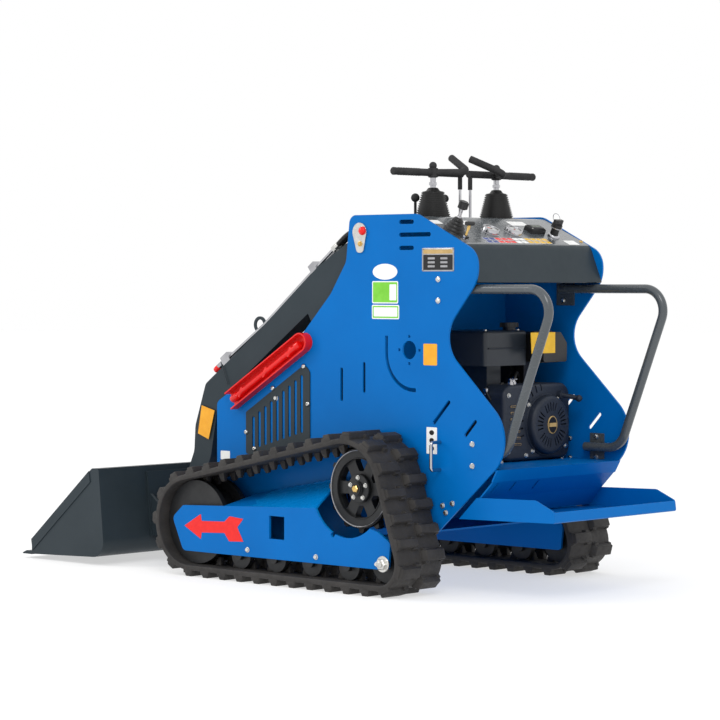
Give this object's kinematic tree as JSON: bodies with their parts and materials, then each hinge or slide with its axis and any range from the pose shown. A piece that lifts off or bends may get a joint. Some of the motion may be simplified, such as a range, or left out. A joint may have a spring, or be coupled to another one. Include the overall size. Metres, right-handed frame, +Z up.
{
  "type": "mini skid steer loader",
  "caption": "Walk-behind tracked mini loader with twin lift arms, a bucket on a quick-attach plate, a rear engine and a step at the back.",
  "frame": {"origin": "on the ground under the middle of the overall length and width", "axes": "+X forward towards the bucket, +Y to the machine's left, +Z up"},
  "size_m": [2.0022, 0.926, 1.2316],
  "materials": {
    "black_paint": "satin",
    "black_plastic": "matt",
    "blue_paint": "satin",
    "boot_rubber": "matt",
    "chrome": "polished",
    "cylinder_paint": "satin",
    "red_paint": "gloss",
    "slate_paint": "satin",
    "track_rubber": "matt",
    "worn_steel": "brushed"
  },
  "bodies": {
    "root": {"air_cleaner": "black_plastic", "arm_pins": "chrome", "arm_towers": "blue_paint", "bay_wall": "blue_paint", "belly_pan": "blue_paint", "console": "slate_paint", "console_controls": "black_plastic", "drive_levers": "black_plastic", "drive_motors": "black_paint", "engine_bed": "blue_paint", "engine_block": "black_paint", "engine_shroud": "black_paint", "front_cowl": "blue_paint", "fuel_tank": "black_plastic", "grab_bar_left": "slate_paint", "grab_bar_right": "slate_paint", "grille_left": "slate_paint", "grille_right": "slate_paint", "lever_boots": "boot_rubber", "lever_posts": "chrome", "lock_channel": "red_paint", "muffler": "black_paint", "recoil_cover": "black_paint", "side_handle": "chrome", "side_plate_left": "blue_paint", "side_plate_right": "blue_paint", "sprocket_left": "black_paint", "sprocket_right": "black_paint", "step_tray": "blue_paint", "track_frame_left": "blue_paint", "track_frame_right": "blue_paint", "track_left": "track_rubber", "track_right": "track_rubber", "track_wheels_left": "black_paint", "track_wheels_right": "black_paint"},
    "arm": {"arm_left": "slate_paint", "arm_right": "slate_paint", "arm_cross": "slate_paint", "arm_pipes": "chrome", "lifting_ring": "slate_paint"},
    "bucket": {"bucket": "slate_paint", "cutting_edge": "worn_steel", "quick_attach": "slate_paint"},
    "lift_barrel_left": {"lift_barrel_left": "cylinder_paint"},
    "lift_rod_left": {"lift_rod_left": "chrome"},
    "lift_barrel_right": {"lift_barrel_right": "cylinder_paint"},
    "lift_rod_right": {"lift_rod_right": "chrome"},
    "tilt_barrel": {"tilt_barrel": "cylinder_paint"},
    "tilt_rod": {"tilt_rod": "chrome"}
  },
  "joints": [
    {"name": "lift_arm", "type": "hinge", "parent": "root", "child": "arm", "pos_m": [-0.298, 0, 1.008], "axis": [0, -1, 0], "range_deg": [0, 75]},
    {"name": "bucket_tilt", "type": "hinge", "parent": "arm", "child": "bucket", "pos_m": [0.54, 0, 0.12], "axis": [0, -1, 0], "range_deg": [-105, 20]},
    {"name": "lift_barrel_left_pivot", "type": "hinge", "parent": "root", "child": "lift_barrel_left", "pos_m": [-0.33, 0.22, 0.3], "axis": [0, -1, 0], "range_deg": [-1, 5.39]},
    {"name": "lift_rod_left_slide", "type": "slide", "parent": "lift_barrel_left", "child": "lift_rod_left", "axis": [0.4299, 0, 0.9029], "range_m": [-0.003, 0.37642]},
    {"name": "lift_barrel_right_pivot", "type": "hinge", "parent": "root", "child": "lift_barrel_right", "pos_m": [-0.33, -0.22, 0.3], "axis": [0, -1, 0], "range_deg": [-1, 5.39]},
    {"name": "lift_rod_right_slide", "type": "slide", "parent": "lift_barrel_right", "child": "lift_rod_right", "axis": [0.4299, 0, 0.9029], "range_m": [-0.003, 0.37642]},
    {"name": "tilt_barrel_pivot", "type": "hinge", "parent": "arm", "child": "tilt_barrel", "pos_m": [0.34, 0, 0.455], "axis": [0, -1, 0], "range_deg": [-4.14, 1.6]},
    {"name": "tilt_rod_slide", "type": "slide", "parent": "tilt_barrel", "child": "tilt_rod", "axis": [0.6707, 0, -0.7417], "range_m": [-0.03457, 0.16875]}
  ],
  "couplings": [
    {"joint": "lift_barrel_left_pivot", "follows": "lift_arm", "ratio": 0.058518},
    {"joint": "lift_rod_left_slide", "follows": "lift_arm", "m_per_rad": 0.28527},
    {"joint": "lift_barrel_right_pivot", "follows": "lift_arm", "ratio": 0.058518},
    {"joint": "lift_rod_right_slide", "follows": "lift_arm", "m_per_rad": 0.28527},
    {"joint": "tilt_barrel_pivot", "follows": "bucket_tilt", "ratio": 0.029927},
    {"joint": "tilt_rod_slide", "follows": "bucket_tilt", "m_per_rad": -0.090448}
  ]
}
